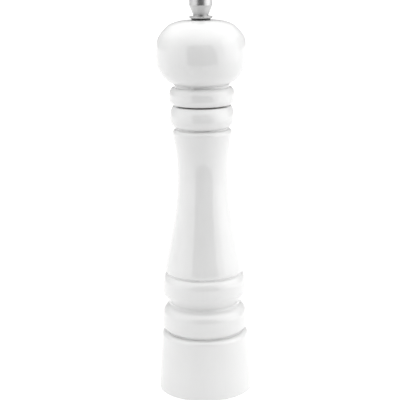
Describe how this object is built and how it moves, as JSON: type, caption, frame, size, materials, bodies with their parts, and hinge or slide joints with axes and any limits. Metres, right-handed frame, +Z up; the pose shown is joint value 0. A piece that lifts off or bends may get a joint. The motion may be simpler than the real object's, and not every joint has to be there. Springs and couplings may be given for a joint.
{
  "type": "pepper mill",
  "caption": "Tall turned wooden pepper mill in white gloss lacquer; the head turns the spindle and burrs, and a steel knob sets the grind and releases the head.",
  "frame": {"origin": "centre of the base, on the table", "axes": "+Z up the axis the head turns about; +X along the bar across the base recess"},
  "size_m": [0.0706, 0.0706, 0.3],
  "materials": {
    "lacquered_wood": "white gloss lacquer outside, bare wood in the bores",
    "knob_steel": "turned and polished steel",
    "burr_steel": "hardened steel, fine blasted and oiled",
    "shaft_steel": "bright drawn bar",
    "plated_steel": "zinc plated",
    "spring_steel": "bright drawn wire",
    "plate_aluminium": "stamped sheet",
    "washer_nylon": "black nylon"
  },
  "bodies": {
    "casing": {"body": "lacquered_wood", "stator": "burr_steel", "bridge": "plated_steel", "bridge_rivets": "plated_steel", "retaining_bar": "plated_steel", "bar_screws": "plated_steel"},
    "carrier": {"thrust_washer": "plated_steel", "spring": "spring_steel"},
    "spindle": {"shaft": "shaft_steel", "rotor": "burr_steel", "spring_washer": "plated_steel", "rotor_washer": "plated_steel", "rotor_clip": "spring_steel"},
    "cap": {"head": "lacquered_wood", "drive_plate": "plate_aluminium", "drive_plate_screws": "plated_steel"},
    "knob_seat": {"knob_washer": "washer_nylon"},
    "knob_body": {"knob": "knob_steel"}
  },
  "joints": [
    {"name": "head_turn", "type": "hinge", "parent": "casing", "child": "carrier", "pos_m": [0, 0, 0], "axis": [0, 0, 1], "continuous": true},
    {"name": "grind_adjust", "type": "slide", "parent": "carrier", "child": "spindle", "axis": [0, 0, 1], "range_m": [-0.0008, 0.0008], "deforming": ["spring"]},
    {"name": "head_lift", "type": "slide", "parent": "carrier", "child": "cap", "axis": [0, 0, 1], "range_m": [0, 0.1]},
    {"name": "knob_lift", "type": "slide", "parent": "cap", "child": "knob_seat", "axis": [0, 0, 1], "range_m": [0, 0.02]},
    {"name": "knob_turn", "type": "hinge", "parent": "knob_seat", "child": "knob_body", "pos_m": [0, 0, 0.29], "axis": [0, 0, 1], "range_deg": [-360, 360]}
  ],
  "couplings": [
    {"joint": "knob_turn", "follows": "grind_adjust", "rad_per_m": -7854}
  ]
}
